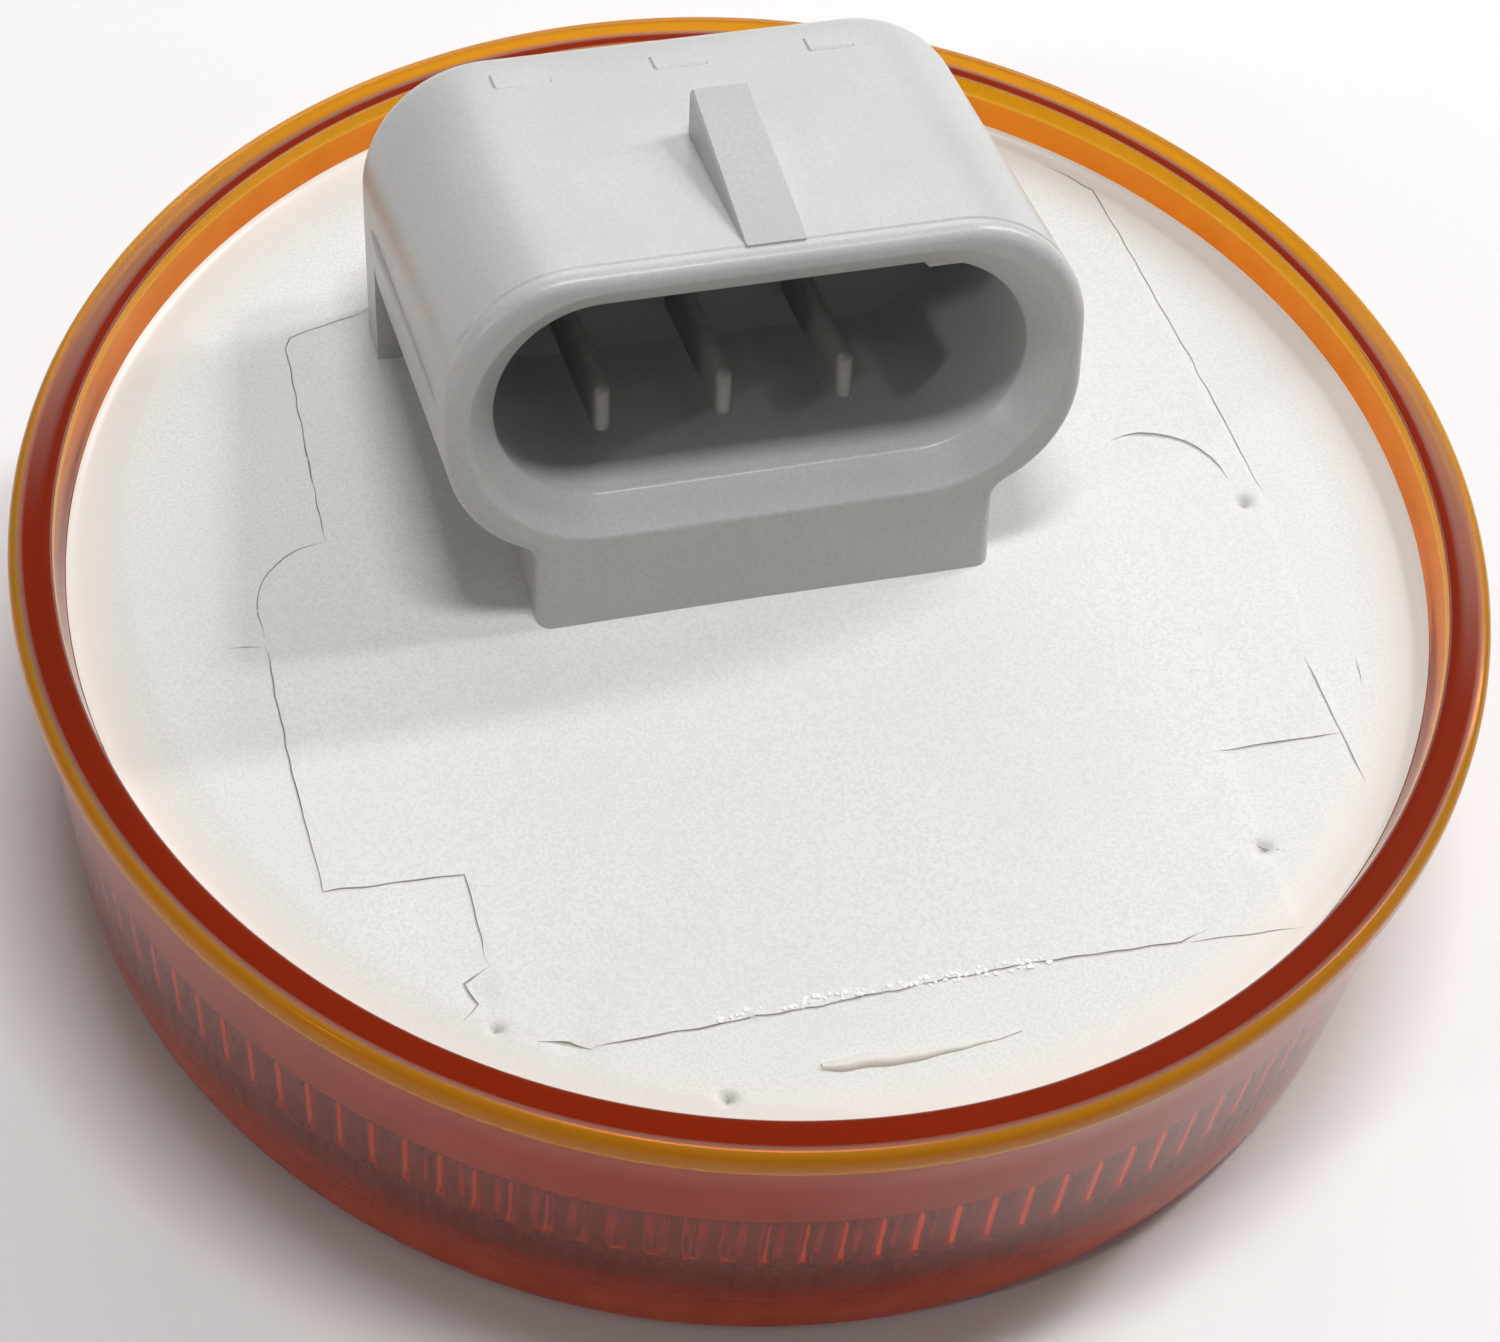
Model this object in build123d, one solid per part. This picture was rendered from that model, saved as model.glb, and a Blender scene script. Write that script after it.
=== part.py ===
from build123d import *
import math
import os

# Sealed round LED marker lamp for trucks and trailers, lying on its lens.
# Millimetres. The origin is on the lamp's axis, on the lens face. +Z points to the back
# of the lamp, where the socket is. The socket's mouth faces -Y and is tipped up.

# ---- lens cup ----
lens_diameter = 63.5            # over the rim lip
lens_height = 17.2              # lens face to rim top
lip_overhang = 0.5              # lip beyond the drafted wall
lip_height = 1.7
rim_width = 1.9                 # flat rim, bore to lip edge
rim_outer_round = 0.5
rim_inner_round = 0.25
wall_draft = 5.6                # degrees, wall leaning in towards the lens face
face_edge_round = 1.2
face_thickness = 2.2
bore_step = 0.5                 # how much the bore closes in down to the potting
seat_ledge = 0.5                # ledge width, bore to flute roots
flute_depth = 0.4
flute_count = 120
prism_pitch = 3.2               # concentric prisms inside the lens face
prism_height = 0.6
prism_crest = 0.5               # crest inside each prism's outer edge
prism_rings = 7
prism_margin = 1.0              # clear of the flutes
post_radius = 1.4               # posts that hold the board off the lens face
post_circle = 25.4
post_angles = (90, 210, 330)

# ---- potting ----
potting_recess = 2.35           # rim top down to the potting
potting_depth = 4.65            # potting's top down to the ledge that carries the board
cover_film = 0.15               # potting over the socket's base plate

# ---- circuit board ----
board_thickness = 1.6
board_clearance = 0.15          # all round, in the bore
slot_clearance = 0.1            # round each terminal tail

# ---- socket ----
socket_tilt = 14.3              # degrees, mouth tipped up towards the plug
socket_width = 27.4
socket_height = 13.65
socket_corner = 5.6
socket_length = 19.3            # mouth to the back edge
socket_back_round = 1.5
socket_side_wall = 2.2          # ring's outside to the mouth
socket_top_wall = 2.175
mouth_depth = 12.0
mouth_flare = 1.4               # round on the mouth's inner edge
mouth_edge_round = 0.45         # round on the mouth's outer edge
groove_start = 0.7              # witness groove, behind the mouth
groove_width = 0.25
groove_cut = 0.12
front_foot_y = -2.25            # where the socket's front face meets the potting
pedestal_inset = 3.65           # each side, in from the socket's side
pedestal_height = 3.6           # along the front face, potting to the ring's underside
pedestal_fillet = 1.0
heel_length = 3.4               # full-width block at the back of the socket
plate_thickness = 1.9

# base plate under the socket: half widths, and stations along Y
plate_back_half = 17.8
plate_back_y = 17.5
plate_shoulder_y = 4.0
plate_wide_half = 21.8
plate_wide_y = 0.9
plate_step_y = -14.0
plate_front_half = 16.1
plate_front_y = -23.1
plate_corner_round = 1.2

# ---- latch ramp, key, seams and pads on the socket ----
ramp_width = 2.6
ramp_offset = 0.3
ramp_start = 0.95               # behind the mouth
ramp_end = 10.2
ramp_height = 2.2
key_width = 2.0
key_height = 0.85
key_offset = 7.9
seam_width = 0.35
seam_proud = 0.18
seam_rise = 0.25                # above the socket's mid height
seam_start = 2.4
seam_back_gap = 3.0             # seams stop this far before the back edge
root_depth = 0.2                # how far raised trims are rooted in the wall
pad_length = 0.9
pad_width = 1.7
pad_proud = 0.12
pad_setback = 2.4               # pads in front of the socket's back edge
pad_offsets = (-7.3, 0.1, 7.2)

# ---- terminals ----
terminal_names = ("ground", "marker", "turn")
terminal_pitch = 5.3
terminal_offset = -1.15         # middle blade from the lamp's centre plane
blade_thickness = 0.8
blade_height = 2.4
blade_drop = 1.85               # blade's middle below the socket's axis
blade_tip_depth = 3.2
blade_tip_round = 0.35
leg_width = 2.4
leg_y = 15.2
tail_width = 1.3
tail_below_board = 0.7
solder_radius = 1.1
solder_tip_radius = 0.75
solder_tail_bare = 0.1          # end of each tail that stands out of its joint

# ---- parts on the board, all on its lens side ----
led_length = 3.5
led_width = 2.8
led_height = 1.5
led_outer_circle = 20.0
led_outer_count = 8
led_inner_circle = 8.0
led_inner_count = 4
window_radius = 1.15
window_height = 0.4             # clear filling in the package's cup
pad_copper = 0.1                # thickness of the tinned copper pads
pad_length_share = 0.28         # of the length of the part it carries
pad_width_share = 0.8
pad_ring_width = 0.25           # round each tail's solder joint

rim_radius = lens_diameter / 2
bore_radius = rim_radius - rim_width
potting_radius = bore_radius - bore_step
flute_root = potting_radius - seat_ledge
flute_crest = flute_root - flute_depth
lip_base = lens_height - lip_height
wall_top_radius = rim_radius - lip_overhang
wall_foot_radius = wall_top_radius - lip_base * math.tan(math.radians(wall_draft))
potting_top = lens_height - potting_recess
board_seat_height = potting_top - potting_depth
board_top = board_seat_height + board_thickness
board_radius = potting_radius - board_clearance
plate_top = potting_top - cover_film
plate_bottom = plate_top - plate_thickness

mouth_width = socket_width - 2 * socket_side_wall
mouth_height = socket_height - 2 * socket_top_wall
pedestal_width = socket_width - 2 * pedestal_inset
tilt = math.radians(socket_tilt)
mouth_rise = socket_height / 2 + pedestal_height        # along the front face
mouth_plane = Plane(
    origin=(
        0,
        front_foot_y + mouth_rise * math.sin(tilt),
        potting_top + mouth_rise * math.cos(tilt),
    ),
    x_dir=(1, 0, 0),
    z_dir=(0, -math.cos(tilt), math.sin(tilt)),
)
# across the lamp: X runs in from the mouth along the socket, Y runs up it
side_plane = Plane(
    origin=mouth_plane.origin,
    x_dir=-mouth_plane.z_dir,
    z_dir=mouth_plane.x_dir,
)
# far enough down the front face to end under the base plate at any depth
foot_reach = mouth_rise + (cover_film + plate_thickness) / math.cos(tilt)
foot_reach += socket_length * math.tan(tilt)
terminal_places = [terminal_offset + step * terminal_pitch for step in (-1, 0, 1)]

# name: (length, width, height, x, y, turn in degrees)
board_parts = {
    "surge_suppressor": (5.4, 3.6, 2.3, 0, 0, 0),
    "blocking_diode_marker": (4.3, 2.6, 2.2, -4.0, 11.0, 0),
    "blocking_diode_turn": (4.3, 2.6, 2.2, 1.7, 11.0, 0),
    "current_regulator_marker": (4.9, 3.9, 1.5, -13.5, 0, 90),
    "current_regulator_turn": (4.9, 3.9, 1.5, 13.5, 0, 90),
    "capacitor_marker": (2.0, 1.25, 1.2, 0, -10.0, 0),
    "capacitor_turn": (2.0, 1.25, 1.2, 0, -16.5, 0),
    "resistor_1": (3.2, 1.6, 0.6, -12.5, 10.5, 45),
    "resistor_2": (3.2, 1.6, 0.6, 12.5, 10.5, -45),
    "resistor_3": (3.2, 1.6, 0.6, -12.5, -10.5, -45),
    "resistor_4": (3.2, 1.6, 0.6, 12.5, -10.5, 45),
    "resistor_5": (3.2, 1.6, 0.6, -2.8, -13.2, 90),
    "resistor_6": (3.2, 1.6, 0.6, 2.8, -13.2, 90),
}
package_edge_round = 0.15
regulator_lead_count = 4        # on each long side
regulator_lead_pitch = 1.27
regulator_lead_width = 0.4
regulator_lead_reach = 0.9
regulator_lead_height = 0.6


def save(shape, name):
    shape.label = name
    export_step(shape, f"parts/{name}.step")


def section_block(sketch, start, end):
    """A cross-section drawn at the mouth, carried from one depth to another."""
    return extrude(mouth_plane.offset(-end) * sketch, end - start)


def rim_band(radius, low, high):
    return Pos(0, 0, low) * Cylinder(
        radius, high - low, align=(Align.CENTER, Align.CENTER, Align.MIN)
    )


def corner_fillet(face, spot, size):
    """Round the corner of a flat face that lies nearest to a given spot."""
    corner = face.vertices().sort_by_distance(spot)[0]
    return fillet(corner, size)


def make_lens():
    prism_count = min(prism_rings, int((flute_crest - prism_margin) / prism_pitch))
    line = [
        (0, 0),
        (wall_foot_radius, 0),
        (wall_top_radius, lip_base),
        (rim_radius, lip_base + lip_overhang),
        (rim_radius, lens_height),
        (bore_radius, lens_height),
        (potting_radius, potting_top),
        (potting_radius, board_seat_height),
        (flute_crest, board_seat_height),
        (flute_crest, face_thickness),
        (prism_count * prism_pitch, face_thickness),
    ]
    for ring in range(prism_count, 0, -1):
        radius = ring * prism_pitch
        line.append((radius - prism_crest, face_thickness + prism_height))
        line.append((radius - prism_pitch, face_thickness))
    profile = make_face(Polyline(*line, close=True))
    profile = corner_fillet(profile, (wall_foot_radius, 0), face_edge_round)
    profile = corner_fillet(profile, (rim_radius, lens_height), rim_outer_round)
    profile = corner_fillet(profile, (bore_radius, lens_height), rim_inner_round)
    lens = revolve(Plane.XZ * profile, Axis.Z)

    flute_points = []
    for step in range(flute_count * 2):
        radius = flute_root if step % 2 else flute_crest
        turn = math.pi * step / flute_count
        flute_points.append((radius * math.cos(turn), radius * math.sin(turn)))
    flute_foot = face_thickness + prism_height
    star = make_face(Polyline(*flute_points, close=True))
    lens -= Pos(0, 0, flute_foot) * extrude(star, board_seat_height - flute_foot)

    for angle in post_angles:
        lens += Rot(0, 0, angle) * Pos(post_circle) * rim_band(
            post_radius, face_thickness, board_seat_height
        )
    return lens


def make_base_plate():
    """Narrow back, sloped shoulders, wide middle and stepped front."""
    right = [
        (plate_back_half, plate_back_y),
        (plate_back_half, plate_shoulder_y),
        (plate_wide_half, plate_wide_y),
        (plate_wide_half, plate_step_y),
        (plate_front_half, plate_step_y),
        (plate_front_half, plate_front_y),
    ]
    left = [(-x, y) for x, y in reversed(right)]
    outline = make_face(Polyline(*(right + left), close=True))
    outline = fillet(outline.vertices(), plate_corner_round)
    return Pos(0, 0, plate_bottom) * extrude(outline, plate_thickness)


def make_socket_body():
    """Ring and pedestal as one section, with a full-width heel at the back."""
    ring = RectangleRounded(socket_width, socket_height, socket_corner)
    foot = Pos(0, -foot_reach / 2) * Rectangle(pedestal_width, foot_reach)
    section = ring + foot
    for side in (-1, 1):
        spot = (side * pedestal_width / 2, -socket_height / 2)
        section = corner_fillet(section, spot, pedestal_fillet)
    body = section_block(section, 0, socket_length)
    front = body.faces().sort_by_distance(mouth_plane.origin)[0]
    body = fillet(front.outer_wire().edges(), mouth_edge_round)

    heel = Pos(0, -foot_reach / 2) * Rectangle(socket_width, foot_reach)
    body += section_block(heel, socket_length - heel_length, socket_length)
    back_middle = mouth_plane.offset(-socket_length).origin
    back = body.faces().sort_by_distance(back_middle)[0]
    body = fillet(back.outer_wire().edges(), socket_back_round)
    return body - rim_band(rim_radius, -socket_length, plate_bottom)


def cut_mouth(body):
    """The plug's cavity, with a flared front edge and a witness groove outside."""
    body -= section_block(SlotOverall(mouth_width, mouth_height), 0, mouth_depth)
    lip_middle = (socket_height + mouth_height) / 4
    front = body.faces().sort_by_distance(mouth_plane * Pos(0, -lip_middle) * Vertex(0, 0, 0))[0]
    body = fillet(front.inner_wires()[0].edges(), mouth_flare)

    around = RectangleRounded(socket_width + 1, socket_height + 1, socket_corner)
    inset = RectangleRounded(
        socket_width - 2 * groove_cut,
        socket_height - 2 * groove_cut,
        socket_corner - groove_cut,
    )
    above_foot = Rectangle(pedestal_width + 2 * pedestal_fillet, socket_height)
    groove = around - inset - Pos(0, -socket_height / 2) * above_foot
    return body - section_block(groove, groove_start, groove_start + groove_width)


def local_box(middle_x, width, low, high, start, end):
    """A block in the socket's own directions: across, up, and in from the mouth."""
    place = Pos(middle_x, (low + high) / 2)
    return section_block(place * Rectangle(width, high - low), start, end)


def make_ramp():
    """Latch ramp for the plug: flush at the mouth, tallest at its back."""
    skin = socket_height / 2
    wedge = Polyline(
        (ramp_start, skin - root_depth),
        (ramp_start, skin),
        (ramp_end, skin + ramp_height),
        (ramp_end, skin - root_depth),
        close=True,
    )
    ramp = extrude(side_plane * make_face(wedge), ramp_width / 2, both=True)
    return Pos(ramp_offset, 0, 0) * ramp


def make_housing(terminals):
    housing = cut_mouth(make_socket_body() + make_base_plate())
    ceiling = mouth_height / 2
    housing += local_box(
        key_offset, key_width, ceiling - key_height, ceiling + root_depth, mouth_flare, mouth_depth
    )
    housing += make_ramp()

    seam_low = seam_rise - seam_width / 2
    seam_high = seam_rise + seam_width / 2
    seam_end = socket_length - seam_back_gap
    for side in (-1, 1):
        edge = side * socket_width / 2
        housing += local_box(edge, 2 * seam_proud, seam_low, seam_high, seam_start, seam_end)

    skin = socket_height / 2
    pad_back = socket_length - pad_setback
    for offset in pad_offsets:
        housing += local_box(
            offset, pad_width, skin - root_depth, skin + pad_proud, pad_back - pad_length, pad_back
        )
    for terminal in terminals:
        housing -= terminal
    return housing


def make_terminal(across):
    """A stamped blade with a leg turned down to the board and a soldered tail."""
    away = leg_y - mouth_plane.origin.Y
    leg_depth = (away + blade_drop * math.sin(tilt)) / math.cos(tilt)
    blade_end = leg_depth + leg_width / 2
    blade_length = blade_end - blade_tip_depth
    blade = RectangleRounded(blade_length, blade_height, blade_tip_round)
    blade = side_plane * Pos(blade_tip_depth + blade_length / 2, -blade_drop) * blade
    half = blade_thickness / 2
    terminal = extrude(blade, half, both=True)

    leg_top = mouth_plane.origin.Z - leg_depth * math.sin(tilt) - blade_drop * math.cos(tilt)
    tail_end = board_seat_height - tail_below_board
    leg_height = leg_top - board_top
    leg = Pos(leg_y, board_top + leg_height / 2) * Rectangle(leg_width, leg_height)
    tail_height = board_top - tail_end
    tail = Pos(leg_y, tail_end + tail_height / 2) * Rectangle(tail_width, tail_height)
    for strip in (leg, tail):
        terminal += extrude(Plane.YZ * strip, half, both=True)
    return Pos(across, 0, 0) * terminal


def tail_slot(x):
    """What is cut from the board, and from its pads, round a terminal's tail."""
    across = blade_thickness + 2 * slot_clearance
    along = tail_width + 2 * slot_clearance
    return Pos(x, leg_y, board_seat_height) * Box(across, along, 2 * board_thickness)


def make_board():
    board = rim_band(board_radius, board_seat_height, board_top)
    for x in terminal_places:
        board -= tail_slot(x)
    return board


def on_board(x, y, turn, length, width, height):
    """A block hanging from the board's lens side, lifted off it by the copper."""
    top = board_seat_height - pad_copper
    return Pos(x, y, top - height / 2) * Rot(0, 0, turn) * Box(length, width, height)


def make_solder(terminals):
    joints = []
    height = tail_below_board - pad_copper - solder_tail_bare
    for x, terminal in zip(terminal_places, terminals):
        joint = Cone(
            solder_radius, solder_tip_radius, height, align=(Align.CENTER, Align.CENTER, Align.MIN)
        )
        place = Pos(x, leg_y, board_seat_height - pad_copper) * Rot(180, 0, 0)
        joints.append(place * joint - terminal)
    return Compound(children=joints)


def led_spots():
    rings = ((led_outer_circle, led_outer_count), (led_inner_circle, led_inner_count))
    spots = []
    for circle, count in rings:
        for number in range(count):
            turn = 360 * (number + 0.5) / count
            x = circle * math.cos(math.radians(turn))
            y = circle * math.sin(math.radians(turn))
            spots.append((x, y, turn + 90))
    return spots


def make_window(x, y):
    low = board_seat_height - pad_copper - led_height
    return Pos(x, y, 0) * rim_band(window_radius, low, low + window_height)


def make_led(x, y, turn):
    package = on_board(x, y, turn, led_length, led_width, led_height)
    package = fillet(package.edges().filter_by(Axis.Z), package_edge_round)
    return package - make_window(x, y)


def make_pads():
    """Two tinned pads under every part, and a ring round each terminal's tail."""
    pads = []
    outlines = [(x, y, turn, led_length, led_width) for x, y, turn in led_spots()]
    for length, width, _, x, y, turn in board_parts.values():
        outlines.append((x, y, turn, length, width))
    low = board_seat_height - pad_copper
    for x, y, turn, length, width in outlines:
        pad = Box(length * pad_length_share, width * pad_width_share, pad_copper)
        for side in (-1, 1):
            shift = side * length * (1 - pad_length_share) / 2
            pads.append(Pos(x, y, low + pad_copper / 2) * Rot(0, 0, turn) * Pos(shift, 0, 0) * pad)
    for x in terminal_places:
        ring = rim_band(solder_radius + pad_ring_width, low, board_seat_height)
        pads.append(Pos(x, leg_y, 0) * ring - tail_slot(x))
    return Compound(children=pads)


def make_regulator_leads():
    leads = []
    lead = Box(regulator_lead_width, regulator_lead_reach, regulator_lead_height)
    first = -(regulator_lead_count - 1) / 2
    for name in ("current_regulator_marker", "current_regulator_turn"):
        _, width, _, x, y, turn = board_parts[name]
        place = Pos(x, y, board_seat_height - regulator_lead_height / 2) * Rot(0, 0, turn)
        out = (width + regulator_lead_reach) / 2
        for number in range(regulator_lead_count):
            along = (first + number) * regulator_lead_pitch
            leads.append(place * Pos(along, out, 0) * lead)
            leads.append(place * Pos(along, -out, 0) * lead)
    return Compound(children=leads)


def make_potting(housing, board, terminals):
    potting = rim_band(potting_radius, board_seat_height, potting_top)
    for piece in [board, housing] + terminals:
        potting -= piece
    return potting


os.makedirs("parts", exist_ok=True)
terminals = [make_terminal(across) for across in terminal_places]
housing = make_housing(terminals)
board = make_board()
save(make_lens(), "lens")
save(housing, "socket_housing")
save(board, "circuit_board")
save(make_potting(housing, board, terminals), "potting")
for name, terminal in zip(terminal_names, terminals):
    save(terminal, "terminal_" + name)
save(make_solder(terminals), "solder_joints")
save(make_pads(), "board_pads")
save(make_regulator_leads(), "regulator_leads")
for number, spot in enumerate(led_spots(), 1):
    save(make_led(*spot), f"led_{number:02d}")
save(Compound(children=[make_window(x, y) for x, y, _ in led_spots()]), "led_windows")
for name, (length, width, height, x, y, turn) in board_parts.items():
    package = on_board(x, y, turn, length, width, height)
    save(fillet(package.edges(), package_edge_round), name)
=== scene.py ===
import math

import bpy
import numpy as np
from mathutils import Matrix


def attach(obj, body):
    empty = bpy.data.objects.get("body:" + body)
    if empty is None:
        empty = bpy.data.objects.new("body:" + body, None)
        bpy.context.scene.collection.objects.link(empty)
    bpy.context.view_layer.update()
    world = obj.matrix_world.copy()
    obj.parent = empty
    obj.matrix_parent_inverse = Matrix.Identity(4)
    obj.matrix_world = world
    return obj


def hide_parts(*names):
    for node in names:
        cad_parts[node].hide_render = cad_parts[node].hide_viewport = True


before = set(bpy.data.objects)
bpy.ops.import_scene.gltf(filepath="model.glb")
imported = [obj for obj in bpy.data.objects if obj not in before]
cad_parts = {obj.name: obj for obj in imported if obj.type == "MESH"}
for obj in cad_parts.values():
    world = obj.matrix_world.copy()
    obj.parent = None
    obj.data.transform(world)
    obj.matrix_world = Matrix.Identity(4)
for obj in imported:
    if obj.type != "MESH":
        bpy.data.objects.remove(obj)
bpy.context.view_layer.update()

# Sealed round LED marker lamp, lying on its amber lens with its socket up.
# Shapes are worked out in millimetres and become metres in addMesh.
mm = 0.001


def blendStep(low, high, value):
    # smooth step: t = (value - low) / (high - low), held in 0..1, then t * t * (3 - 2 * t)
    t = np.clip((value - low) / (high - low), 0, 1)
    return t * t * (3 - 2 * t)


def waves(x, y, length, seed, count=7):
    # sum of sines of random direction and phase with about one wavelength, scaled to about -1..1
    draw = np.random.default_rng(seed)
    total = np.zeros_like(x)
    for turn, phase, stretch in draw.uniform((0, 0, 0.7), (math.pi, 2 * math.pi, 1.4), (count, 3)):
        along = x * math.cos(turn) + y * math.sin(turn)
        total += np.sin(2 * math.pi * along / (length * stretch) + phase)
    return total / math.sqrt(count)


def enclosed(points, quads, tris):
    # signed volume: a sixth of the sum of p0 . (p1 x p2) over all the triangles
    corners = np.concatenate([quads[:, [0, 1, 2]], quads[:, [0, 2, 3]], tris])
    p0, p1, p2 = (points[corners[:, k]] for k in range(3))
    return np.einsum("ij,ij->", p0, np.cross(p1, p2)) / 6


def addMesh(name, points, quads, tris, crease=35):
    # one closed mesh from points in millimetres, turned so that its faces point outwards
    if enclosed(points, quads, tris) < 0:
        quads, tris = quads[:, ::-1], tris[:, ::-1]
    mesh = bpy.data.meshes.new(name)
    corners = np.concatenate([quads.ravel(), tris.ravel()])
    starts = np.concatenate([np.arange(len(quads)) * 4, quads.size + np.arange(len(tris)) * 3])
    mesh.vertices.add(len(points))
    mesh.vertices.foreach_set("co", (points * mm).astype(np.float32).ravel())
    mesh.loops.add(len(corners))
    mesh.loops.foreach_set("vertex_index", corners.astype(np.int32))
    mesh.polygons.add(len(starts))
    mesh.polygons.foreach_set("loop_start", starts.astype(np.int32))
    mesh.update(calc_edges=True)
    mesh.validate()
    mesh.shade_smooth()
    mesh.set_sharp_from_angle(angle=math.radians(crease))
    piece = bpy.data.objects.new(name, mesh)
    bpy.context.scene.collection.objects.link(piece)
    return piece


def skin(rows, startPole, endPole):
    # rows[i, j] is point j of ring i; quads join ring i to ring i + 1, and a fan closes each end at its pole
    count, wide = rows.shape[:2]
    i, j = np.meshgrid(np.arange(count - 1), np.arange(wide), indexing="ij")
    k = (j + 1) % wide
    quads = np.stack([i * wide + j, i * wide + k, (i + 1) * wide + k, (i + 1) * wide + j], -1).reshape(-1, 4)
    j = np.arange(wide)
    k = (j + 1) % wide
    last = (count - 1) * wide
    pole = np.full(wide, count * wide)
    tris = np.concatenate([np.stack([pole, k, j], -1), np.stack([pole + 1, last + j, last + k], -1)])
    return np.concatenate([rows.reshape(-1, 3), [startPole, endPole]]), quads, tris


def joined(parts):
    # several closed skins as one list of points and faces
    points, quads, tris, offset = [], [], [], 0
    for somePoints, someQuads, someTris in parts:
        points.append(somePoints)
        quads.append(someQuads + offset)
        tris.append(someTris + offset)
        offset += len(somePoints)
    return np.concatenate(points), np.concatenate(quads), np.concatenate(tris)


def setMarks(piece, name, values):
    # one number for each vertex, which a material can read
    layer = piece.data.attributes.new(name, "FLOAT", "POINT")
    layer.data.foreach_set("value", np.asarray(values, np.float32).ravel())


def arc(middle, radius, fromDegrees, toDegrees, count):
    # middle + radius * (cos a, sin a), a in even steps
    turn = np.radians(np.linspace(fromDegrees, toDegrees, count))
    return np.stack([middle[0] + radius * np.cos(turn), middle[1] + radius * np.sin(turn)], -1)


def line(start, end, count):
    # start + t * (end - start), t in even steps
    t = np.linspace(0, 1, count)[:, None]
    return np.asarray(start, float) * (1 - t) + np.asarray(end, float) * t


cameraSpec = {"lens": 98.3, "azimuth": -20.46, "elevation": 51.51, "roll": 7.61, "distance": 175.4,
              "target": (0.47, -6.34), "height": 17.2}


def addCamera(spec):
    # target = height along Z + a shift along the view's right and up; the camera stands back from it
    azimuth, elevation, roll = (math.radians(spec[key]) for key in ("azimuth", "elevation", "roll"))
    right = np.array([math.cos(azimuth), math.sin(azimuth), 0])
    up = np.array([-math.sin(azimuth) * math.sin(elevation), math.cos(azimuth) * math.sin(elevation),
                   math.cos(elevation)])
    back = np.cross(right, up)
    target = np.array([0, 0, spec["height"]]) + spec["target"][0] * right + spec["target"][1] * up
    place = (target + spec["distance"] * back) * mm
    rolledRight = math.cos(roll) * right + math.sin(roll) * up
    rolledUp = -math.sin(roll) * right + math.cos(roll) * up
    data = bpy.data.cameras.new("camera")
    data.lens = spec["lens"]
    data.sensor_width = 36
    data.clip_start = 0.01
    camera = bpy.data.objects.new("camera", data)
    matrix = np.eye(4)
    matrix[:3, 0], matrix[:3, 1], matrix[:3, 2], matrix[:3, 3] = rolledRight, rolledUp, back, place
    camera.matrix_world = Matrix(matrix.tolist())
    bpy.context.scene.collection.objects.link(camera)
    bpy.context.scene.camera = camera


lampSpecs = {
    # name: (direction to the light, distance, width, height, watts, colour)
    "topLight": ((0.03, 0.0, 1.0), 0.75, 0.26, 0.10, 2.65, (1.0, 1.0, 1.0)),
    "stripLight": ((1.15, 0.515, 1.0), 0.70, 0.36, 0.035, 1.80, (1.0, 0.99, 0.97)),
    "highLight": ((0.70, 0.23, 1.0), 0.70, 0.06, 0.05, 0.90, (1.0, 0.99, 0.97)),
    "backLight": ((0.50, 2.10, 1.0), 0.80, 0.55, 0.30, 1.20, (1.0, 1.0, 1.0)),
    "frontLight": ((0.15, -0.50, 1.0), 0.70, 0.30, 0.12, 0.12, (1.0, 1.0, 1.0)),
    "leftLight": ((-1.5, -0.6, 1.0), 0.70, 0.05, 0.04, 0.45, (1.0, 0.98, 0.95)),
}
aimHeight = 0.015  # metres, about half way up the marker


def addLamp(name, direction, distance, width, height, watts, colour):
    # an area lamp at distance along direction from the piece's middle, facing it, its width along X
    data = bpy.data.lights.new(name, "AREA")
    data.shape = "RECTANGLE"
    data.size, data.size_y = width, height
    data.energy = watts
    data.color = colour
    lamp = bpy.data.objects.new(name, data)
    back = np.asarray(direction, float)
    back /= np.linalg.norm(back)
    right = np.array([1.0, 0, 0]) - back[0] * back
    right /= np.linalg.norm(right)
    matrix = np.eye(4)
    matrix[:3, 0], matrix[:3, 1], matrix[:3, 2] = right, np.cross(back, right), back
    matrix[:3, 3] = back * distance + (0, 0, aimHeight)
    lamp.matrix_world = Matrix(matrix.tolist())
    bpy.context.scene.collection.objects.link(lamp)


# brightness in front, then each change: axis, where it starts and ends, brightness after it
skySpec = {"front": 0.12, "changes": (("Y", -0.5, 0.8, 0.30), ("Z", 0.25, 0.7, 0.12))}


def addSky(spec):
    # brightness over the sky's direction: dim in front, brighter low down behind, dim above
    world = bpy.data.worlds.new("studio")
    world.use_nodes = True
    nodes, links = world.node_tree.nodes, world.node_tree.links
    split = nodes.new("ShaderNodeSeparateXYZ")
    links.new(nodes.new("ShaderNodeTexCoord").outputs["Generated"], split.inputs["Vector"])
    steps = []
    for axis, low, high, end in spec["changes"]:
        node = nodes.new("ShaderNodeMapRange")
        node.interpolation_type = "SMOOTHSTEP"
        links.new(split.outputs[axis], node.inputs["Value"])
        for socket, number in (("From Min", low), ("From Max", high), ("To Max", end)):
            node.inputs[socket].default_value = number
        steps.append(node)
    steps[0].inputs["To Min"].default_value = spec["front"]
    links.new(steps[0].outputs["Result"], steps[1].inputs["To Min"])
    links.new(steps[1].outputs["Result"], nodes["Background"].inputs["Strength"])
    nodes["Background"].inputs["Color"].default_value = (1, 1, 1, 1)
    bpy.context.scene.world = world


addCamera(cameraSpec)
for lampName, spec in lampSpecs.items():
    addLamp(lampName, *spec)
addSky(skySpec)
bpy.context.scene.view_settings.view_transform = "Standard"
print("camera and lights")


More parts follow.
